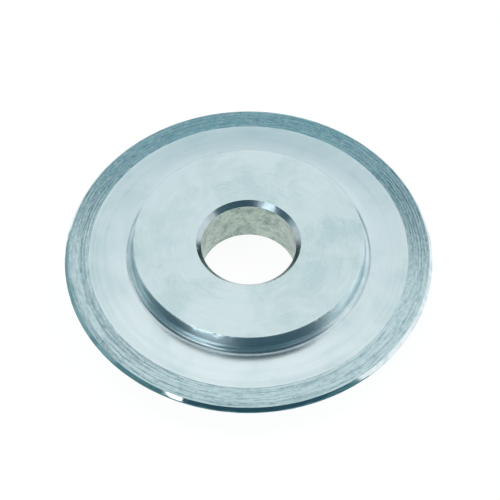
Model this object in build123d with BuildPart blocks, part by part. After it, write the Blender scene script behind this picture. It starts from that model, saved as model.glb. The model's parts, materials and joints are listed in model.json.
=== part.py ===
from build123d import *
from math import isclose, radians, sin, tan
import os

# Pipe cutter wheel, turned and ground from one piece of hardened steel. Millimetres and degrees.
# The axis of the wheel is Z. The origin is the centre of the wheel, on its axis and in the plane
# of the cutting edge, and the wheel is the same above and below that plane.

# Overall size
outside_diameter = 19.0
width_over_hubs = 3.0

# Bore that turns on the axle pin of the cutter, with a chamfer at each mouth
bore_diameter = 4.9
bore_chamfer = 0.25

# Raised hub on each side: face, slightly tapered flank and rounded root
hub_diameter = 11.9
hub_flank_angle = 4.0
hub_edge_break = 0.04
hub_root_fillet = 0.32

# Flat web between the hub and the ground ring
web_thickness = 0.84

# Ground ring, which thins the web towards the edge
ring_inner_diameter = 16.5

# Cutting edge: a short steep land on each side that meets in a rounded nose
edge_thickness = 0.54
edge_angle = 120.0
edge_nose_radius = 0.05

# Heights above the plane of the edge
hub_face_height = width_over_hubs / 2
web_height = web_thickness / 2
land_height = edge_thickness / 2

# Radii from the axis
outside_radius = outside_diameter / 2
bore_radius = bore_diameter / 2
hub_radius = hub_diameter / 2
hub_root_radius = hub_radius + (hub_face_height - web_height) * tan(radians(hub_flank_angle))
ring_inner_radius = ring_inner_diameter / 2

# The two lands would meet at the apex, a little outside the rounded nose
half_edge_angle = radians(edge_angle / 2)
apex_radius = outside_radius + edge_nose_radius * (1 / sin(half_edge_angle) - 1)
land_radius = apex_radius - land_height / tan(half_edge_angle)


def circles_of(radius):
    """Round edges of the wheel that have this radius, above and below the plane of the edge."""
    round_edges = cutter_wheel.edges().filter_by(GeomType.CIRCLE)
    return round_edges.filter_by(lambda edge: isclose(edge.radius, radius, abs_tol=1e-4))


with BuildPart() as cutter_wheel:
    # Turned outline: hub face, flank, web, ground ring and land, mirrored to the other side
    with BuildSketch(Plane.XZ):
        with BuildLine():
            Polyline(
                (0, hub_face_height),
                (hub_radius, hub_face_height),
                (hub_root_radius, web_height),
                (ring_inner_radius, web_height),
                (land_radius, land_height),
                (apex_radius, 0),
            )
            mirror(about=Plane.XZ)
            Line((0, hub_face_height), (0, -hub_face_height))
        make_face()
    revolve(axis=Axis.Z)

    # Bore right through, with its chamfered mouths
    Hole(bore_radius)
    chamfer(circles_of(bore_radius), bore_chamfer)

    # Broken edge of each hub face, rounded root of each flank, and the nose of the cutting edge
    chamfer(circles_of(hub_radius), hub_edge_break)
    fillet(circles_of(hub_root_radius), hub_root_fillet)
    fillet(circles_of(apex_radius), edge_nose_radius)

os.makedirs("parts", exist_ok=True)
cutter_wheel.part.label = "cutter_wheel"
export_step(cutter_wheel.part, "parts/cutter_wheel.step")
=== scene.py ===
import json
import math
from collections import namedtuple

import bpy
import numpy as np
from bpy.props import FloatProperty, FloatVectorProperty, IntProperty, PointerProperty
from mathutils import Matrix, Vector


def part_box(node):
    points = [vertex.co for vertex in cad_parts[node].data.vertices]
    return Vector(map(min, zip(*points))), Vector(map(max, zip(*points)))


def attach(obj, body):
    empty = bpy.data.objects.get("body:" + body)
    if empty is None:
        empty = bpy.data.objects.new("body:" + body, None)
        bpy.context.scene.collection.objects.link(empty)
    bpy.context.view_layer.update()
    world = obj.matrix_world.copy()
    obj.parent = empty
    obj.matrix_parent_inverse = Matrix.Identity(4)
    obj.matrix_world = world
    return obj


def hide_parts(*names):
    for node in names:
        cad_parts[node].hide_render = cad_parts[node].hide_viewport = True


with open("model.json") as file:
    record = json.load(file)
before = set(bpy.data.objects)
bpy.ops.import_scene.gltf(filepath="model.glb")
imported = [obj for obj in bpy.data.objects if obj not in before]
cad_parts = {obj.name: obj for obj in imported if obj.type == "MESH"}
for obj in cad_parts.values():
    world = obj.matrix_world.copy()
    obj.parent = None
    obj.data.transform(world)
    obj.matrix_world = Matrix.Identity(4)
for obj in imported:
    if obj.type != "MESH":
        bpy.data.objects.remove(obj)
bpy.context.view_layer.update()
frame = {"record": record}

bl_info = {
    "name": "Pipe cutter wheel",
    "version": (1, 0, 0),
    "blender": (4, 5, 0),
    "location": "View3D > Sidebar > Cutter wheel",
    "description": "Builds a turned and ground steel cutter wheel and its plain white stage",
    "category": "Object",
}

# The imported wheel, which gives the overall size, and its bore
WHEEL_NODE = "cutter_wheel"
BODY = "root"
MM = 0.001
wheel_low, wheel_high = [np.array(corner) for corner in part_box(WHEEL_NODE)]
outside_radius = float(wheel_high[0] - wheel_low[0]) / 2
hub_face_height = float(wheel_high[2] - wheel_low[2]) / 2
bore_mount = next(mount for mount in frame["record"]["mounts"] if mount["name"] == "bore")
bore_radius = bore_mount["dims"]["r_mm"] * MM

# Zones of the turned surface, which are also the numbers of its material slots
BORE, CHAMFER, HUB_FACE, FLANK, ROUNDED, WEB, RING, EDGE = range(8)

# Turning grooves of the ground ring. Width and scatter are shares of the ring's width, and the first
# groove lies this share of a gap inside the ring. The ring is no higher than the web, to a tolerance.
GROOVE_WIDTH = 0.022
GROOVE_SCATTER = 0.03
FIRST_GROOVE = 0.7
GROOVE_SEED = 5
WEB_TOLERANCE = 0.001 * MM

# Nicks in one edge: the stretches round the wheel that have them, in degrees, the number in each
# stretch, their depth as a share of the deepest nick, and how far they reach from the edge. Their
# widths, in degrees, and the shares of their depth vary between two values.
Nicks = namedtuple("Nicks", "stretches count depth_share reach")
HUB_NICKS = Nicks([(172, 196), (-120, -98), (-60, -48)], count=7, depth_share=1.0, reach=0.07 * MM)
MOUTH_NICKS = Nicks([(150, 190), (55, 75), (-70, -30)], count=5, depth_share=0.6, reach=0.06 * MM)
RIM_NICKS = Nicks([(-180, 180)], count=46, depth_share=0.2, reach=0.08 * MM)
NICK_WIDTHS = (0.5, 1.4)
NICK_DEPTHS = (0.25, 1.0)

# Random seeds of the nicks: the hub's edge and the bore's mouth on each side, and the rim
SIDE_SEEDS = {1: (11, 12), -1: (23, 24)}
RIM_SEED = 31

# A plain turned face. The other finishes say only what differs from it. Stain, line, streak and ring
# are how much each mark darkens the steel. A mark's scale is how fine it is across, per metre. Its
# length is how fine it is round the axis, so that a smaller number draws it out further.
TURNED_FACE = {
    "anisotropic": 0.45,
    "roughness": (0.24, 0.3),
    "stain": 0.55,
    "stain_scale": 420.0,
    "line": 0.22,
    "line_length": 3.0,
    "line_scale": 26000.0,
    "line_relief": 0.4,
    "streak": 0.12,
    "streak_length": 10.0,
    "streak_scale": 9000.0,
    "streak_range": (0.55, 0.72),
    "ring": 0.08,
    "ring_length": 0.5,
    "ring_scale": 7000.0,
    "ring_range": (0.5, 0.62),
    "ring_relief": 0.3,
    "ring_radii": (0.0, 1.0 * MM),
    "fall": 0.0,
    "bump": 0.12,
    "bump_distance": 0.002 * MM,
}

# Noise values between which the stains and the lines come in
STAIN_RANGE = (0.42, 0.72)
LINE_RANGE = (0.3, 0.7)

# The finish of each zone, in the order of the zones
FINISHES = {
    "bore": {
        "anisotropic": 0.2, "roughness": (0.32, 0.5), "stain": 0.45, "stain_scale": 1500.0,
        "line": 0.3, "line_length": 9.0, "line_scale": 9000.0,
        "streak": 0.75, "streak_length": 22.0, "streak_range": (0.58, 0.67),
        "bump": 0.4, "bump_distance": 0.004 * MM,
    },
    "chamfer": {
        "anisotropic": 0.35, "roughness": (0.15, 0.28), "stain": 0.45, "streak": 0.3,
        "line_scale": 16000.0,
    },
    "hub_face": {},
    "flank": {
        "anisotropic": 0.2, "roughness": (0.15, 0.23), "stain": 0.5, "streak": 0.4, "line": 0.3,
    },
    "rounded": {
        "anisotropic": 0.0, "roughness": (0.27, 0.37), "stain": 0.5, "streak": 0.4, "line": 0.3,
    },
    "web": {
        "roughness": (0.28, 0.34), "stain": 0.5, "stain_scale": 320.0,
        "streak": 0.18, "streak_length": 2.0, "streak_scale": 3500.0,
        "ring": 0.4, "ring_scale": 5200.0, "ring_relief": 4.0, "ring_radii": (6.2 * MM, 9.0 * MM),
        "fall": 0.11 * MM,
    },
    "ground_ring": {
        "anisotropic": 0.35, "roughness": (0.13, 0.22), "stain": 0.2, "stain_scale": 4200.0,
        "line": 0.15, "line_scale": 24000.0,
        "streak": 0.28, "streak_length": 11.0, "streak_range": (0.46, 0.64),
        "ring": 0.36, "ring_scale": 8000.0, "ring_relief": 0.4, "ring_range": (0.55, 0.6),
        "bump": 1.0, "bump_distance": 0.003 * MM,
    },
    "edge": {
        "anisotropic": 0.2, "roughness": (0.05, 0.16), "stain": 0.6, "stain_scale": 1100.0,
        "streak": 0.7,
    },
}

# Cards on a sphere round the wheel: name, turn from straight in front and rise from the floor, in
# degrees from and to, and the property that holds the colour. Positive turns go to the right.
CARD_DISTANCE = 0.6
CARD_COLUMNS = 33
CARD_ROWS = 17
BENT_CARDS = (
    ("front_card_right_low", (-33, 62), (-1, 12), "front_dark"),
    ("front_card_left_low", (-90, -42), (-1, 12), "front_dark"),
    ("light_spot", (-42, -33), (-1, 12), "light_strip"),
    ("front_card_gap_left", (-90, -53), (12, 20), "gap_pale"),
    ("front_card_gap_strip", (-53, -28), (12, 25), "gap_pale"),
    ("front_card_gap_middle", (-28, 32), (12, 25), "gap_teal"),
    ("front_card_gap_right", (32, 62), (12, 25), "gap_pale"),
    ("side_light", (84, 128), (4, 60), "side_light"),
    ("front_card_right_middle", (-23, 68), (25, 42), "front_soft"),
    ("front_card_left_middle", (-92, -53), (20, 42), "front_soft"),
    ("light_strip", (-53, -23), (25, 40), "light_strip"),
    ("front_card_right_high", (-40, 80), (42, 80), "front_deep"),
    ("front_card_left_high", (-120, -50), (42, 70), "front_deep"),
    ("front_card_notch", (-50, -40), (42, 62), "front_soft"),
    ("light_bar", (-50, -40), (62, 72), "light_strip"),
    ("left_side_card", (-128, -90), (15, 42), "left_pale"),
    ("top_card", (-180, 180), (80, 90), "top_pale"),
    ("back_card", (146, 214), (12, 40), "back_grey"),
    ("back_card_high", (168, 192), (40, 46), "back_dark"),
    ("back_card_right", (136, 168), (40, 48.5), "back_deep"),
    ("back_card_left", (192, 218), (40, 45.5), "back_deep"),
)

# Flat cards just over the floor: name, turn from and to, and the property that holds the colour.
# Their ends are the far one and the near one, in metres from the axis.
FLOOR_CARDS = (
    ("floor_card_front", (-62, 53), "floor_dark"),
    ("floor_card_left", (-125, -62), "floor_left"),
)
FLOOR_CARD_ENDS = (0.59, 0.0115)
FLOOR_CARD_COLUMNS = 49
FLOOR_CARD_RISE = 0.05 * MM

# Floor, in metres: it lies a hair below the lower hub, so that the two faces stay apart
FLOOR_HALF_WIDTH = 3.0
FLOOR_GAP = 0.002 * MM

# Tones of the floor and the world, for the light that they give and for where they are seen
FLOOR_TONE = (0.85, 0.86, 0.86, 1.0)
FLOOR_SEEN_TONE = (0.14, 0.14, 0.14, 1.0)
FLOOR_SEEN_GLOW = 0.93
WORLD_TONE = (0.95, 0.98, 1.0, 1.0)
WORLD_STRENGTH = 0.75
WHITE = (1.0, 1.0, 1.0, 1.0)

# Softbox: place and size in metres, power in watts
SOFTBOX_PLACE = (-0.12, 0.1, 0.5)
SOFTBOX_WIDTH = 0.35
SOFTBOX_DEPTH = 0.25
SOFTBOX_POWER = 0.35

# The photograph's frame is square and this wide, in pixels
PHOTO_PIXELS = 500
SENSOR_WIDTH_MM = 36.0

# Nearest and farthest that the camera sees, in metres
CAMERA_NEAR = 0.01
CAMERA_FAR = 20.0


class CutterWheelSizes(bpy.types.PropertyGroup):
    """Sizes of the turned section and of the marks that tools and use left on it."""

    hub_radius: FloatProperty(
        name="Hub radius", description="Radius of the raised hub at its face",
        default=5.95 * MM, unit="LENGTH", precision=6,
    )
    hub_flank_angle: FloatProperty(
        name="Flank angle", description="Taper of the hub's flank from the axis",
        default=math.radians(4.0), subtype="ANGLE",
    )
    hub_edge_break: FloatProperty(
        name="Edge break", description="Broken edge round each hub face",
        default=0.04 * MM, unit="LENGTH", precision=6,
    )
    hub_root_fillet: FloatProperty(
        name="Root fillet", description="Round root between the flank and the web",
        default=0.32 * MM, unit="LENGTH", precision=6,
    )
    bore_chamfer: FloatProperty(
        name="Bore chamfer", description="Chamfer at each mouth of the bore",
        default=0.25 * MM, unit="LENGTH", precision=6,
    )
    web_thickness: FloatProperty(
        name="Web thickness", description="Thickness of the flat web",
        default=0.84 * MM, unit="LENGTH", precision=6,
    )
    ring_inner_radius: FloatProperty(
        name="Ring radius", description="Inner radius of the ground ring",
        default=8.25 * MM, unit="LENGTH", precision=6,
    )
    edge_thickness: FloatProperty(
        name="Edge thickness", description="Thickness where the steep lands of the edge begin",
        default=0.54 * MM, unit="LENGTH", precision=6,
    )
    edge_angle: FloatProperty(
        name="Edge angle", description="Angle between the two lands of the cutting edge",
        default=math.radians(120.0), subtype="ANGLE",
    )
    edge_nose_radius: FloatProperty(
        name="Nose radius", description="Radius of the rounded nose of the cutting edge",
        default=0.05 * MM, unit="LENGTH", precision=6,
    )
    groove_depth: FloatProperty(
        name="Groove depth", description="Depth of the turning grooves in the ground ring",
        default=0.0035 * MM, unit="LENGTH", precision=7,
    )
    groove_count: IntProperty(
        name="Grooves", description="Turning grooves across each side of the ground ring", default=7, min=0,
    )
    nick_depth: FloatProperty(
        name="Nick depth", description="Depth of the deepest nick in the hub's edge",
        default=0.02 * MM, unit="LENGTH", precision=6,
    )
    steps_round: IntProperty(
        name="Steps round", description="Divisions of the surface round the axis", default=490, min=64,
    )


class CutterWheelColours(bpy.types.PropertyGroup):
    """Pale and dark tone of each finish of the steel. The tones of the chamfer and of the rounded edges are
    set darker, with painted shade in them.
    """

    hub_face_pale: FloatVectorProperty(
        name="Hub face", description="Pale tone of the turned hub face",
        default=(0.685, 0.805, 0.825), subtype="COLOR", min=0, max=1,
    )
    hub_face_dark: FloatVectorProperty(
        name="Hub face stain", description="Darker patches of the hub face",
        default=(0.52, 0.69, 0.70), subtype="COLOR", min=0, max=1,
    )
    web_pale: FloatVectorProperty(
        name="Web", description="Pale tone of the web",
        default=(0.78, 0.885, 0.905), subtype="COLOR", min=0, max=1,
    )
    web_dark: FloatVectorProperty(
        name="Web stain", description="Darker patches of the web",
        default=(0.58, 0.74, 0.765), subtype="COLOR", min=0, max=1,
    )
    ground_ring_pale: FloatVectorProperty(
        name="Ground ring", description="Pale streaks of the ground ring",
        default=(0.54, 0.70, 0.725), subtype="COLOR", min=0, max=1,
    )
    ground_ring_dark: FloatVectorProperty(
        name="Ground ring marks", description="Dark streaks of the ground ring",
        default=(0.15, 0.27, 0.32), subtype="COLOR", min=0, max=1,
    )
    flank_pale: FloatVectorProperty(
        name="Flank", description="Pale tone of the hub's flank",
        default=(0.80, 0.88, 0.90), subtype="COLOR", min=0, max=1,
    )
    flank_dark: FloatVectorProperty(
        name="Flank stain", description="Darker patches of the flank",
        default=(0.45, 0.60, 0.66), subtype="COLOR", min=0, max=1,
    )
    # Both tones of the rounded edges are set darker than the flank's. This is painted shade, which dims the
    # highlights on the hub's root fillet and broken edge. The stain, streak and line marks mix in the
    # darker tone.
    rounded_pale: FloatVectorProperty(
        name="Rounded edges", description="Pale tone of the root and the broken edge of the hub",
        default=(0.68, 0.79, 0.82), subtype="COLOR", min=0, max=1,
    )
    rounded_dark: FloatVectorProperty(
        name="Rounded stain", description="Darker patches of the root and the broken edge of the hub",
        default=(0.32, 0.45, 0.50), subtype="COLOR", min=0, max=1,
    )
    # Both chamfer tones are set well below those of the other turned steel. This is painted shade, which
    # stands in for darker cards for the chamfer to mirror.
    chamfer_pale: FloatVectorProperty(
        name="Chamfer", description="Pale tone of the chamfer at the mouth of the bore",
        default=(0.47, 0.55, 0.59), subtype="COLOR", min=0, max=1,
    )
    chamfer_dark: FloatVectorProperty(
        name="Chamfer marks", description="Darker marks of the chamfer",
        default=(0.28, 0.37, 0.42), subtype="COLOR", min=0, max=1,
    )
    edge_pale: FloatVectorProperty(
        name="Edge", description="Pale tone of the steep lands of the cutting edge",
        default=(0.84, 0.92, 0.94), subtype="COLOR", min=0, max=1,
    )
    edge_dark: FloatVectorProperty(
        name="Edge marks", description="Darker marks of the steep lands of the cutting edge",
        default=(0.40, 0.54, 0.60), subtype="COLOR", min=0, max=1,
    )
    bore_pale: FloatVectorProperty(
        name="Bore", description="Pale tone of the bore wall",
        default=(0.49, 0.59, 0.53), subtype="COLOR", min=0, max=1,
    )
    bore_dark: FloatVectorProperty(
        name="Bore marks", description="Dark marks on the bore wall",
        default=(0.13, 0.21, 0.18), subtype="COLOR", min=0, max=1,
    )


class CutterWheelCards(bpy.types.PropertyGroup):
    """Colours of the cards that the faces of the wheel mirror."""

    front_dark: FloatVectorProperty(
        name="Low front cards", description="Dark cards low in front, which the steep faces mirror",
        default=(0.03, 0.08, 0.11), subtype="COLOR", min=0, max=1,
    )
    front_soft: FloatVectorProperty(
        name="Middle front cards", description="Softer cards in front, which the far chamfer mirrors",
        default=(0.09, 0.165, 0.205), subtype="COLOR", min=0, max=1,
    )
    front_deep: FloatVectorProperty(
        name="High front cards", description="Deep cards high in front, which the hub's flank mirrors",
        default=(0.012, 0.05, 0.075), subtype="COLOR", min=0, max=1,
    )
    gap_pale: FloatVectorProperty(
        name="Gap cards", description="Pale cards between the low and the middle front cards",
        default=(0.60, 0.71, 0.74), subtype="COLOR", min=0, max=1,
    )
    gap_teal: FloatVectorProperty(
        name="Middle gap card", description="Teal card between the pale ones, straight in front",
        default=(0.15, 0.25, 0.29), subtype="COLOR", min=0, max=1,
    )
    light_strip: FloatVectorProperty(
        name="Light strips", description="Small bright cards in front of the wheel, on the left",
        default=(2.3, 2.35, 2.4), subtype="COLOR", min=0, max=4,
    )
    side_light: FloatVectorProperty(
        name="Side light", description="Light card on the right, which the hub's root mirrors",
        default=(1.2, 1.2, 1.2), subtype="COLOR", min=0, max=4,
    )
    left_pale: FloatVectorProperty(
        name="Left card", description="Pale card on the left, which the hub's flank mirrors",
        default=(0.50, 0.68, 0.70), subtype="COLOR", min=0, max=1,
    )
    top_pale: FloatVectorProperty(
        name="Top card", description="Pale card overhead, which the root of the hub mirrors",
        default=(0.60, 0.72, 0.75), subtype="COLOR", min=0, max=1,
    )
    back_grey: FloatVectorProperty(
        name="Back card", description="Grey card behind the wheel, which the ground ring mirrors",
        default=(0.30, 0.49, 0.55), subtype="COLOR", min=0, max=1,
    )
    back_dark: FloatVectorProperty(
        name="Upper back card", description="Darker card over the middle of the back card",
        default=(0.17, 0.36, 0.43), subtype="COLOR", min=0, max=1,
    )
    back_deep: FloatVectorProperty(
        name="Outer back cards", description="Deep cards over both ends of the back card",
        default=(0.045, 0.15, 0.20), subtype="COLOR", min=0, max=1,
    )
    floor_dark: FloatVectorProperty(
        name="Floor card", description="Dark sheet on the floor, which the cutting edge mirrors",
        default=(0.11, 0.23, 0.255), subtype="COLOR", min=0, max=1,
    )
    floor_left: FloatVectorProperty(
        name="Left floor card", description="Paler sheet on the floor to the left of the wheel",
        default=(0.24, 0.40, 0.42), subtype="COLOR", min=0, max=1,
    )


class CutterWheelCamera(bpy.types.PropertyGroup):
    """The camera, fitted to the photograph."""

    elevation: FloatProperty(
        name="Camera elevation", description="Height of the camera above the plane of the wheel",
        default=math.radians(54.76), subtype="ANGLE",
    )
    distance: FloatProperty(
        name="Camera distance", description="Distance of the camera in radii of the wheel",
        default=24.83, min=1,
    )
    pixels_per_radius: FloatProperty(
        name="Pixels per radius", description="Size of the wheel's radius in the photograph",
        default=183.84, min=1,
    )
    right: FloatProperty(
        name="Camera right", description="Sideways place of the camera in radii of the wheel",
        default=0.0076,
    )
    up: FloatProperty(
        name="Camera up", description="Upward place of the camera in radii of the wheel",
        default=0.0502,
    )


# Surface of the wheel

def eased(count):
    """Values from 0 to 1, closer together at both ends: half of one minus the cosine of a half turn."""
    return (1 - np.cos(np.linspace(0, np.pi, count))) / 2


def straight(start, end, count):
    """Points on the line from start to end: start plus an eased share of the way."""
    return np.array(start) + eased(count)[:, None] * (np.array(end) - np.array(start))


def arc(centre, radius, start_angle, end_angle, count):
    """Points on a circle: the centre plus the radius along the cosine and sine of an even angle."""
    angle = np.linspace(start_angle, end_angle, count)
    return np.array(centre) + radius * np.column_stack([np.cos(angle), np.sin(angle)])


def upper_section(sizes):
    """Radius and height of the upper half of the section, from the bore's middle to the nose.

    It runs along the bore wall, the chamfer, the hub face, the broken edge, the tapered flank, the
    root fillet, the web, the ground ring, the land and the nose. The fillet's arc is tangent to the
    flank and the web, and the nose's arc is tangent to both lands. The zones between the points and
    the numbers of the points at crisp corners come with it.
    """
    web = sizes.web_thickness / 2
    land = sizes.edge_thickness / 2
    half_angle = sizes.edge_angle / 2
    nose = sizes.edge_nose_radius
    apex = outside_radius + nose * (1 / math.sin(half_angle) - 1)
    land_radius = apex - land / math.tan(half_angle)
    chamfer = sizes.bore_chamfer
    edge_break = sizes.hub_edge_break
    flank_angle = sizes.hub_flank_angle
    flank_slope = math.tan(flank_angle)
    root_radius = sizes.hub_radius + (hub_face_height - web) * flank_slope
    fillet = sizes.hub_root_fillet
    fillet_centre = (root_radius - fillet * flank_slope + fillet / math.cos(flank_angle), web + fillet)
    nose_centre = (outside_radius - nose, 0.0)

    chamfer_foot = (bore_radius, hub_face_height - chamfer)
    chamfer_top = (bore_radius + chamfer, hub_face_height)
    break_top = (sizes.hub_radius - edge_break, hub_face_height)
    break_foot = (sizes.hub_radius + edge_break * flank_slope, hub_face_height - edge_break)
    root = arc(fillet_centre, fillet, math.pi + flank_angle, 1.5 * math.pi, count=9)
    ring_start = (sizes.ring_inner_radius, web)
    ring_end = (land_radius, land)
    nose_arc = arc(nose_centre, nose, math.pi / 2 - half_angle, 0.0, count=4)

    # Each stretch has its points, its zone, and whether it begins at a crisp corner
    stretches = [
        (straight((bore_radius, 0.0), chamfer_foot, count=7), BORE, False),
        (straight(chamfer_foot, chamfer_top, count=4), CHAMFER, True),
        (straight(chamfer_top, break_top, count=9), HUB_FACE, True),
        (straight(break_top, break_foot, count=3), ROUNDED, True),
        (straight(break_foot, root[0], count=6), FLANK, True),
        (root, ROUNDED, False),
        (straight(root[-1], ring_start, count=9), WEB, False),
        (straight(ring_start, ring_end, count=56), RING, True),
        (straight(ring_end, nose_arc[0], count=4), EDGE, True),
        (nose_arc, EDGE, False),
    ]
    points = np.vstack([stretch[:-1] for stretch, zone, crisp in stretches] + [nose_arc[-1:]])
    zones = np.concatenate([np.full(len(stretch) - 1, zone) for stretch, zone, crisp in stretches])
    starts = np.cumsum([0] + [len(stretch) - 1 for stretch, zone, crisp in stretches[:-1]])
    corners = starts[[crisp for stretch, zone, crisp in stretches]]
    return points, zones, corners


def whole_section(sizes):
    """The closed section: the upper half, then its mirror image back along the underside."""
    upper, zones, corners = upper_section(sizes)
    lower = upper[-2:0:-1] * np.array([1.0, -1.0])
    lower_corners = 2 * (len(upper) - 1) - corners
    return (
        np.vstack([upper, lower]),
        np.concatenate([zones, zones[::-1]]),
        np.concatenate([corners, lower_corners]),
    )


def cut_grooves(radius, height, sizes):
    """Heights of the surface with the turning grooves cut into the ground ring on both sides.

    A groove lowers the ring by its depth, times e to minus the square of the distance from the
    groove's radius over its width. One more groove lies at the ring's inner radius.
    """
    inner = sizes.ring_inner_radius
    ring_width = outside_radius - inner
    width = ring_width * GROOVE_WIDTH
    random = np.random.default_rng(GROOVE_SEED)
    share = (np.arange(sizes.groove_count) + FIRST_GROOVE) / (sizes.groove_count + 1)
    share = share + random.uniform(-GROOVE_SCATTER, GROOVE_SCATTER, sizes.groove_count)
    places = np.append(inner + ring_width * share, inner + width)
    nearness = np.exp(-(((radius[:, :, None] - places) / width) ** 2)).sum(axis=2)
    on_ring = (np.abs(height) < sizes.web_thickness / 2 + WEB_TOLERANCE) & (radius > inner)
    return height - np.sign(height) * sizes.groove_depth * nearness * on_ring


def nicks_round(angle, nicks, deepest, seed):
    """Depth of an edge's nicks at each angle round the axis, at random places in their stretches.

    It is a sum of bell curves: each nick's depth, times e to minus the square of the turn from its
    centre over its width.
    """
    random = np.random.default_rng(seed)
    centres = np.concatenate([random.uniform(low, high, nicks.count) for low, high in nicks.stretches])
    widths = np.radians(random.uniform(*NICK_WIDTHS, len(centres)))
    depths = deepest * nicks.depth_share * random.uniform(*NICK_DEPTHS, len(centres))
    turn = (angle[:, None] - np.radians(centres) + np.pi) % (2 * np.pi) - np.pi
    return (depths * np.exp(-((turn / widths) ** 2))).sum(axis=1)


def dent_edges(radius, height, angle, sizes):
    """Radii and heights of the surface with nicks in the hub edges, the bore mouths and the rim.

    Near an edge the surface is pushed inwards by the depth of the nicks at its angle, times e to
    minus the square of the distance from the edge over the reach of the nicks.
    """
    slant = math.sqrt(0.5)
    edges = []
    for side, (hub_seed, mouth_seed) in SIDE_SEEDS.items():
        hub_edge = (sizes.hub_radius, side * hub_face_height)
        mouth = (bore_radius + sizes.bore_chamfer, side * hub_face_height)
        edges.append((HUB_NICKS, hub_seed, hub_edge, (-slant, -slant * side)))
        edges.append((MOUTH_NICKS, mouth_seed, mouth, (slant, -slant * side)))
    edges.append((RIM_NICKS, RIM_SEED, (outside_radius, 0.0), (-1.0, 0.0)))
    for nicks, seed, edge, inward in edges:
        depth = nicks_round(angle, nicks, sizes.nick_depth, seed)
        distance = np.hypot(radius - edge[0], height - edge[1])
        push = depth * np.exp(-((distance / nicks.reach) ** 2))
        radius = radius + push * inward[0]
        height = height + push * inward[1]
    return radius, height


def wheel_grid(sizes):
    """Positions of the whole surface, as a grid of section points by steps round the axis.

    A point at radius r, height z and angle a lies at r cos a, r sin a, z, once the grooves and the
    nicks are in its radius and height. The section's zones and crisp corners come with the grid.
    """
    section, zones, corners = whole_section(sizes)
    angle = np.linspace(0, 2 * np.pi, sizes.steps_round, endpoint=False)
    radius = np.repeat(section[:, :1], len(angle), axis=1)
    height = np.repeat(section[:, 1:], len(angle), axis=1)
    height = cut_grooves(radius, height, sizes)
    radius, height = dent_edges(radius, height, angle, sizes)
    position = np.stack([radius * np.cos(angle), radius * np.sin(angle), height], axis=2)
    return position, zones, corners


def closed_mesh(name, position):
    """A mesh of quads on a grid of points that closes up along its rows and its columns."""
    rows, columns = position.shape[:2]
    number = np.arange(rows * columns).reshape(rows, columns)
    beside = np.roll(number, -1, axis=1)
    above = np.roll(number, -1, axis=0)
    above_beside = np.roll(beside, -1, axis=0)
    quads = np.stack([number, beside, above_beside, above], axis=2).reshape(-1, 4)
    mesh = bpy.data.meshes.new(name)
    mesh.vertices.add(rows * columns)
    mesh.vertices.foreach_set("co", position.reshape(-1))
    mesh.loops.add(quads.size)
    mesh.loops.foreach_set("vertex_index", quads.reshape(-1))
    mesh.polygons.add(len(quads))
    mesh.polygons.foreach_set("loop_start", np.arange(0, quads.size, 4))
    mesh.polygons.foreach_set("use_smooth", np.ones(len(quads), dtype=bool))
    mesh.update(calc_edges=True)
    mesh.validate()
    return mesh


def crisp_rows(mesh, rows, columns):
    """Marks the edges that run along these rows of the grid as sharp, so that corners stay crisp."""
    ends = np.empty(len(mesh.edges) * 2, dtype=np.int32)
    mesh.edges.foreach_get("vertices", ends)
    row = ends.reshape(-1, 2) // columns
    sharp = (row[:, 0] == row[:, 1]) & np.isin(row[:, 0], rows)
    mesh.edges.foreach_set("use_edge_sharp", sharp)


def linked(name, mesh):
    """A new object for the mesh, in the scene's collection."""
    piece = bpy.data.objects.new(name, mesh)
    bpy.context.scene.collection.objects.link(piece)
    return piece


# Node tools

def add_node(tree, kind, **settings):
    """A new node with its properties set."""
    node = tree.nodes.new(kind)
    for key, value in settings.items():
        setattr(node, key, value)
    return node


def feed(tree, node, values):
    """Sets inputs of a node by their names or numbers: links a socket, or fills in a value."""
    for key, value in values.items():
        if isinstance(value, bpy.types.NodeSocket):
            tree.links.new(value, node.inputs[key])
        else:
            node.inputs[key].default_value = value


def math_node(tree, operation, first, second, clamp=False):
    """A Math node on two sockets or numbers, and its result."""
    node = add_node(tree, "ShaderNodeMath", operation=operation, use_clamp=clamp)
    feed(tree, node, {0: first, 1: second})
    return node.outputs[0]


def weighted_sum(tree, terms, clamp=False):
    """The sum of masks, each times its weight."""
    first, *others = [math_node(tree, "MULTIPLY", mask, weight) for mask, weight in terms]
    for other in others:
        first = math_node(tree, "ADD", first, other, clamp=clamp)
    return first


def smooth_step(tree, value, low, high, to_low=0.0, to_high=1.0):
    """A Map Range node that goes smoothly from one value to another between low and high."""
    node = add_node(tree, "ShaderNodeMapRange", interpolation_type="SMOOTHSTEP")
    feed(tree, node, {"Value": value, "From Min": low, "From Max": high})
    feed(tree, node, {"To Min": to_low, "To Max": to_high})
    return node.outputs["Result"]


def parts_of(tree, vector):
    """The X, Y and Z of a vector."""
    node = tree.nodes.new("ShaderNodeSeparateXYZ")
    feed(tree, node, {0: vector})
    return node.outputs["X"], node.outputs["Y"], node.outputs["Z"]


def vector_of(tree, x, y, z=0.0):
    """A vector from three sockets or numbers."""
    node = tree.nodes.new("ShaderNodeCombineXYZ")
    feed(tree, node, {"X": x, "Y": y, "Z": z})
    return node.outputs[0]


def length_of(tree, vector):
    """The length of a vector."""
    node = add_node(tree, "ShaderNodeVectorMath", operation="LENGTH")
    feed(tree, node, {0: vector})
    return node.outputs["Value"]


def noise_value(tree, **values):
    """The value of a Noise Texture node with these inputs."""
    noise = tree.nodes.new("ShaderNodeTexNoise")
    feed(tree, noise, values)
    return noise.outputs[0]


def mix_colours(tree, factor, first, second):
    """A Mix node between two colours."""
    node = add_node(tree, "ShaderNodeMix", data_type="RGBA")
    feed(tree, node, {"Factor": factor})
    for key, colour in (("A", first), ("B", second)):
        socket = next(s for s in node.inputs if s.name == key and s.type == "RGBA")
        socket.default_value = (*colour, 1.0)
    return next(s for s in node.outputs if s.type == "RGBA")


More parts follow.
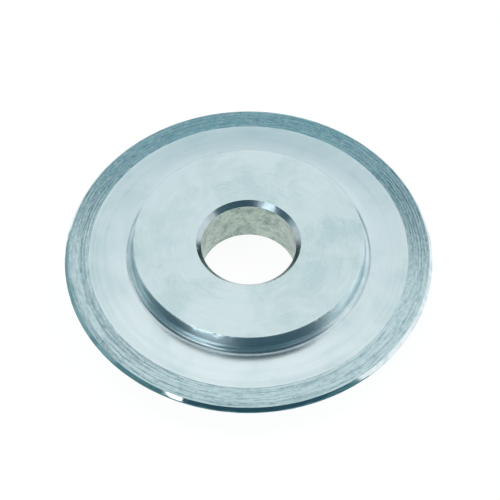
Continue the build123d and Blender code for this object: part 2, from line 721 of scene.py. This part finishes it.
def shader_node(tree, kind, **values):
    """A shader node with values on its own sockets, and its result."""
    node = tree.nodes.new(kind)
    feed(tree, node, values)
    return node.outputs[0]


def mix_shaders(tree, factor, first, second):
    """A Mix Shader node, and its result."""
    node = tree.nodes.new("ShaderNodeMixShader")
    feed(tree, node, {0: factor, 1: first, 2: second})
    return node.outputs[0]


def new_material(name):
    """A material, its node tree with nothing but an output, and the output's Surface socket."""
    material = bpy.data.materials.new(name)
    material.use_nodes = True
    tree = material.node_tree
    tree.nodes.clear()
    return material, tree, tree.nodes.new("ShaderNodeOutputMaterial").inputs["Surface"]


# Groups that the steel finishes share

def new_group(name, inputs):
    """A shader node group with a Position input, named number inputs and one Mask output."""
    group = bpy.data.node_groups.new(name, "ShaderNodeTree")
    group.interface.new_socket("Position", in_out="INPUT", socket_type="NodeSocketVector")
    for label, default in inputs.items():
        socket = group.interface.new_socket(label, in_out="INPUT", socket_type="NodeSocketFloat")
        socket.default_value = default
    group.interface.new_socket("Mask", in_out="OUTPUT", socket_type="NodeSocketFloat")
    return group, group.nodes.new("NodeGroupInput").outputs, group.nodes.new("NodeGroupOutput")


def round_axis_vector(group, position, round_scale, across_scale):
    """A vector for patterns drawn out round the axis: the direction from the axis times one scale,
    and the radius less the height times another, so that there is no seam."""
    x, y, z = parts_of(group, position)
    from_axis = vector_of(group, x, y)
    direction = add_node(group, "ShaderNodeVectorMath", operation="NORMALIZE")
    feed(group, direction, {0: from_axis})
    scaled = add_node(group, "ShaderNodeVectorMath", operation="SCALE")
    feed(group, scaled, {0: direction.outputs[0], "Scale": round_scale})
    round_x, round_y, round_z = parts_of(group, scaled.outputs[0])
    across = math_node(group, "SUBTRACT", length_of(group, from_axis), z)
    return vector_of(group, round_x, round_y, math_node(group, "MULTIPLY", across, across_scale))


def streaks_group():
    """Scratches drawn out round the axis, from noise that is long round it and fine across it."""
    group, given, end = new_group(
        "streaks_round_axis", {"Round Scale": 8.0, "Across Scale": 9000.0, "Low": 0.4, "High": 0.65}
    )
    vector = round_axis_vector(group, given["Position"], given["Round Scale"], given["Across Scale"])
    noise = noise_value(group, Vector=vector, Scale=1.0, Detail=4.0, Roughness=0.62)
    feed(group, end, {"Mask": smooth_step(group, noise, given["Low"], given["High"])})
    return group


def patches_group():
    """Soft uneven patches, such as stains and handling marks, from plain noise."""
    group, given, end = new_group("soft_patches", {"Scale": 400.0, "Low": 0.4, "High": 0.65})
    noise = noise_value(
        group, Vector=given["Position"], Scale=given["Scale"], Detail=5.0, Roughness=0.6, Distortion=0.4
    )
    feed(group, end, {"Mask": smooth_step(group, noise, given["Low"], given["High"])})
    return group


def radius_group():
    """Goes from 0 to 1 as the distance from the axis goes from the inner to the outer radius."""
    group, given, end = new_group("radius_window", {"Inner": 0.0, "Outer": 1.0})
    x, y, z = parts_of(group, given["Position"])
    radius = length_of(group, vector_of(group, x, y))
    feed(group, end, {"Mask": smooth_step(group, radius, given["Inner"], given["Outer"])})
    return group


def place_group(tree, group, **values):
    """Places a group in a material with its own values, and gives its Mask."""
    node = add_node(tree, "ShaderNodeGroup", node_tree=group)
    feed(tree, node, {label.replace("_", " "): value for label, value in values.items()})
    return node.outputs["Mask"]


# Steel

def steel(name, groups, pale, dark, finish):
    """Bare steel with stains, fine turning lines, scratches and broader rings round the axis.

    The colour goes from pale to dark, and the roughness from low to high, with the stains, scratches,
    rings and lines, each times its own share. The lines, scratches and rings also give the bump. The
    rings come in between two radii, where the face also seems to fall away outwards.
    """
    material, tree, surface = new_material(name)
    shader = tree.nodes.new("ShaderNodeBsdfPrincipled")
    tree.links.new(shader.outputs["BSDF"], surface)
    tangent = add_node(tree, "ShaderNodeTangent", direction_type="RADIAL", axis="Z")
    feed(tree, shader, {
        "Metallic": 1.0, "Anisotropic": finish["anisotropic"], "Tangent": tangent.outputs[0],
    })

    position = tree.nodes.new("ShaderNodeTexCoord").outputs["Object"]
    stains = place_group(
        tree, groups["patches"], Position=position, Scale=finish["stain_scale"],
        Low=STAIN_RANGE[0], High=STAIN_RANGE[1],
    )
    lines, streaks, rings = [
        place_group(
            tree, groups["streaks"], Position=position, Round_Scale=finish[mark + "_length"],
            Across_Scale=finish[mark + "_scale"], Low=low, High=high,
        )
        for mark, (low, high) in (
            ("line", LINE_RANGE), ("streak", finish["streak_range"]), ("ring", finish["ring_range"]),
        )
    ]
    inner, outer = finish["ring_radii"]
    window = place_group(tree, groups["radius"], Position=position, Inner=inner, Outer=outer)
    rings = math_node(tree, "MULTIPLY", rings, window)

    darkness = weighted_sum(tree, [
        (stains, finish["stain"]), (streaks, finish["streak"]), (rings, finish["ring"]),
        (lines, finish["line"]),
    ], clamp=True)
    relief = weighted_sum(tree, [
        (lines, finish["line_relief"]), (streaks, 1.0), (rings, finish["ring_relief"]),
    ])
    fall = add_node(tree, "ShaderNodeBump", invert=True)
    feed(tree, fall, {"Distance": finish["fall"], "Height": window})
    bump = tree.nodes.new("ShaderNodeBump")
    feed(tree, bump, {
        "Strength": finish["bump"], "Distance": finish["bump_distance"], "Height": relief,
        "Normal": fall.outputs["Normal"],
    })
    feed(tree, shader, {
        "Base Color": mix_colours(tree, darkness, pale, dark),
        "Roughness": smooth_step(tree, darkness, 0.0, 1.0, *finish["roughness"]),
        "Normal": bump.outputs["Normal"],
    })
    return material


def steel_finishes(colours):
    """The steel of each zone, in the order of the zones."""
    groups = {"streaks": streaks_group(), "patches": patches_group(), "radius": radius_group()}
    return [
        steel(
            zone + "_steel", groups, getattr(colours, zone + "_pale"), getattr(colours, zone + "_dark"),
            {**TURNED_FACE, **changes},
        )
        for zone, changes in FINISHES.items()
    ]


class OBJECT_OT_add_cutter_wheel(bpy.types.Operator):
    """Build the turned and ground surface of the wheel in place of the plain solid"""

    bl_idname = "object.add_cutter_wheel"
    bl_label = "Add cutter wheel"

    def execute(self, context):
        sizes = context.scene.cutter_wheel_sizes
        position, zones, corners = wheel_grid(sizes)
        mesh = closed_mesh("wheel_surface", position)
        crisp_rows(mesh, corners, sizes.steps_round)
        mesh.polygons.foreach_set("material_index", np.repeat(zones, sizes.steps_round).astype(np.int32))
        for material in steel_finishes(context.scene.cutter_wheel_colours):
            mesh.materials.append(material)
        mesh.update()
        wheel = linked("wheel_surface", mesh)
        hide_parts(WHEEL_NODE)
        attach(wheel, BODY)
        return {"FINISHED"}


# Stage

def seen_directly(tree):
    """1 for rays from the camera, from gloss and through glass, and 0 for the others."""
    path = tree.nodes.new("ShaderNodeLightPath")
    seen = math_node(tree, "MAXIMUM", path.outputs["Is Camera Ray"], path.outputs["Is Glossy Ray"])
    return math_node(tree, "MAXIMUM", seen, path.outputs["Is Transmission Ray"])


def floor_material():
    """Pale floor that is white where it is seen and still takes the wheel's soft shadow. Seen from
    below it is clear, so that the underside of the wheel can be looked at."""
    material, tree, surface = new_material("pale_floor")
    plain = shader_node(tree, "ShaderNodeBsdfDiffuse", Color=FLOOR_TONE)
    both = tree.nodes.new("ShaderNodeAddShader")
    feed(tree, both, {
        0: shader_node(tree, "ShaderNodeBsdfDiffuse", Color=FLOOR_SEEN_TONE),
        1: shader_node(tree, "ShaderNodeEmission", Color=WHITE, Strength=FLOOR_SEEN_GLOW),
    })
    above = mix_shaders(tree, seen_directly(tree), plain, both.outputs[0])
    clear = shader_node(tree, "ShaderNodeBsdfTransparent")
    backfacing = tree.nodes.new("ShaderNodeNewGeometry").outputs["Backfacing"]
    tree.links.new(mix_shaders(tree, backfacing, above, clear), surface)
    return material


def card_material(name, colour):
    """A card that shows the same colour from anywhere."""
    material, tree, surface = new_material(name)
    tree.links.new(shader_node(tree, "ShaderNodeEmission", Color=(*colour, 1.0)), surface)
    return material


def open_card(name, position, material):
    """A card of quads on a grid of points, out of the camera's sight."""
    number = np.arange(position.shape[0] * position.shape[1]).reshape(position.shape[:2])
    quads = np.stack([number[:-1, :-1], number[:-1, 1:], number[1:, 1:], number[1:, :-1]], axis=2)
    mesh = bpy.data.meshes.new(name)
    mesh.from_pydata(position.reshape(-1, 3).tolist(), [], quads.reshape(-1, 4).tolist())
    mesh.materials.append(material)
    card = linked(name, mesh)
    card.visible_camera = False
    return card


def bent_card(name, turn_range, rise_range, material):
    """A card bent to a part of a sphere round the wheel.

    Its point at turn t and rise e lies at the sphere's radius times cos e sin t, minus cos e cos t,
    sin e.
    """
    turns, rises = np.meshgrid(
        np.radians(np.linspace(*turn_range, CARD_COLUMNS)),
        np.radians(np.linspace(*rise_range, CARD_ROWS)),
    )
    position = CARD_DISTANCE * np.stack(
        [np.cos(rises) * np.sin(turns), -np.cos(rises) * np.cos(turns), np.sin(rises)], axis=2
    )
    card = open_card(name, position, material)


def floor_card(name, turn_range, material):
    """A sheet flat on the floor in front of the wheel or beside it, which only the metal sees.

    It is part of a flat ring: its point at turn t and distance d lies at d sin t, minus d cos t.
    """
    level = float(wheel_low[2]) + FLOOR_CARD_RISE
    turn = np.radians(np.linspace(*turn_range, FLOOR_CARD_COLUMNS))
    turns, distances = np.meshgrid(turn, FLOOR_CARD_ENDS)
    position = np.stack(
        [distances * np.sin(turns), -distances * np.cos(turns), np.full(turns.shape, level)], axis=2
    )
    card = open_card(name, position, material)
    card.visible_diffuse = False
    card.visible_shadow = False
    card.visible_transmission = False


def add_cards(colours):
    """All the cards round the wheel, with one material for each colour."""
    materials = {key: card_material(key, getattr(colours, key)) for key in CutterWheelCards.__annotations__}
    for name, turn_range, rise_range, colour in BENT_CARDS:
        bent_card(name, turn_range, rise_range, materials[colour])
    for name, turn_range, colour in FLOOR_CARDS:
        floor_card(name, turn_range, materials[colour])


def add_floor():
    """A large square floor a hair below the lower hub."""
    half = FLOOR_HALF_WIDTH
    level = float(wheel_low[2]) - FLOOR_GAP
    corners = [(-half, -half, level), (half, -half, level), (half, half, level), (-half, half, level)]
    mesh = bpy.data.meshes.new("floor")
    mesh.from_pydata(corners, [], [(0, 1, 2, 3)])
    mesh.materials.append(floor_material())
    linked("floor", mesh)


def light_world(scene):
    """Even white light all round, which the camera and the metal see as plain white."""
    world = bpy.data.worlds.new("white_room")
    world.use_nodes = True
    scene.world = world
    tree = world.node_tree
    tree.nodes.clear()
    output = tree.nodes.new("ShaderNodeOutputWorld")
    fill = shader_node(tree, "ShaderNodeBackground", Color=WORLD_TONE, Strength=WORLD_STRENGTH)
    white = shader_node(tree, "ShaderNodeBackground", Color=WHITE)
    tree.links.new(mix_shaders(tree, seen_directly(tree), fill, white), output.inputs["Surface"])


def add_softbox(scene):
    """One broad lamp above and behind the wheel, for the direction of the shadow."""
    lamp = bpy.data.lights.new("softbox", "AREA")
    lamp.shape = "RECTANGLE"
    lamp.size = SOFTBOX_WIDTH
    lamp.size_y = SOFTBOX_DEPTH
    lamp.energy = SOFTBOX_POWER
    softbox = bpy.data.objects.new("softbox", lamp)
    scene.collection.objects.link(softbox)
    place = Vector(SOFTBOX_PLACE)
    softbox.matrix_world = Matrix.Translation(place) @ place.to_track_quat("Z", "Y").to_matrix().to_4x4()
    softbox.visible_camera = False
    softbox.visible_glossy = False


def add_camera(scene, view):
    """The photograph's view: the camera looks along +Y and down at the wheel's centre, set off by
    the small measured shifts, with a lens that gives the measured size of the wheel."""
    rise = view.elevation
    right = Vector((1, 0, 0))
    up = Vector((0, math.sin(rise), math.cos(rise)))
    back = Vector((0, -math.cos(rise), math.sin(rise)))
    place = outside_radius * (view.right * right + view.up * up + view.distance * back)
    focal_pixels = view.pixels_per_radius * view.distance
    lens = bpy.data.cameras.new("photo_camera")
    lens.sensor_width = SENSOR_WIDTH_MM
    lens.lens = focal_pixels / PHOTO_PIXELS * SENSOR_WIDTH_MM
    lens.clip_start = CAMERA_NEAR
    lens.clip_end = CAMERA_FAR
    camera = bpy.data.objects.new("photo_camera", lens)
    scene.collection.objects.link(camera)
    turn = Matrix((right, up, back)).transposed().to_4x4()
    camera.matrix_world = Matrix.Translation(place) @ turn
    scene.camera = camera


class SCENE_OT_set_cutter_wheel_stage(bpy.types.Operator):
    """Set up the floor, the light, the cards and the camera of the photograph"""

    bl_idname = "scene.set_cutter_wheel_stage"
    bl_label = "Set up stage"

    def execute(self, context):
        scene = context.scene
        add_floor()
        light_world(scene)
        add_softbox(scene)
        add_cards(scene.cutter_wheel_cards)
        add_camera(scene, scene.cutter_wheel_camera)
        scene.view_settings.view_transform = "Standard"
        return {"FINISHED"}


class VIEW3D_PT_cutter_wheel(bpy.types.Panel):
    """Sizes, colours and stage of the cutter wheel"""

    bl_idname = "VIEW3D_PT_cutter_wheel"
    bl_label = "Pipe cutter wheel"
    bl_space_type = "VIEW_3D"
    bl_region_type = "UI"
    bl_category = "Cutter wheel"

    def draw(self, context):
        for settings in (
            context.scene.cutter_wheel_sizes,
            context.scene.cutter_wheel_colours,
            context.scene.cutter_wheel_cards,
            context.scene.cutter_wheel_camera,
        ):
            box = self.layout.box()
            for key in settings.__annotations__:
                box.prop(settings, key)
        for operator in OPERATORS:
            self.layout.operator(operator.bl_idname)


OPERATORS = (OBJECT_OT_add_cutter_wheel, SCENE_OT_set_cutter_wheel_stage)
CLASSES = (
    CutterWheelSizes, CutterWheelColours, CutterWheelCards, CutterWheelCamera, *OPERATORS,
    VIEW3D_PT_cutter_wheel,
)


def register():
    for entry in CLASSES:
        bpy.utils.register_class(entry)
    bpy.types.Scene.cutter_wheel_sizes = PointerProperty(type=CutterWheelSizes)
    bpy.types.Scene.cutter_wheel_colours = PointerProperty(type=CutterWheelColours)
    bpy.types.Scene.cutter_wheel_cards = PointerProperty(type=CutterWheelCards)
    bpy.types.Scene.cutter_wheel_camera = PointerProperty(type=CutterWheelCamera)


def unregister():
    del bpy.types.Scene.cutter_wheel_camera
    del bpy.types.Scene.cutter_wheel_cards
    del bpy.types.Scene.cutter_wheel_colours
    del bpy.types.Scene.cutter_wheel_sizes
    for entry in reversed(CLASSES):
        bpy.utils.unregister_class(entry)


def main():
    """Registers the classes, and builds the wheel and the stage."""
    register()
    bpy.ops.object.add_cutter_wheel()
    bpy.ops.scene.set_cutter_wheel_stage()


if __name__ == "__main__":
    main()
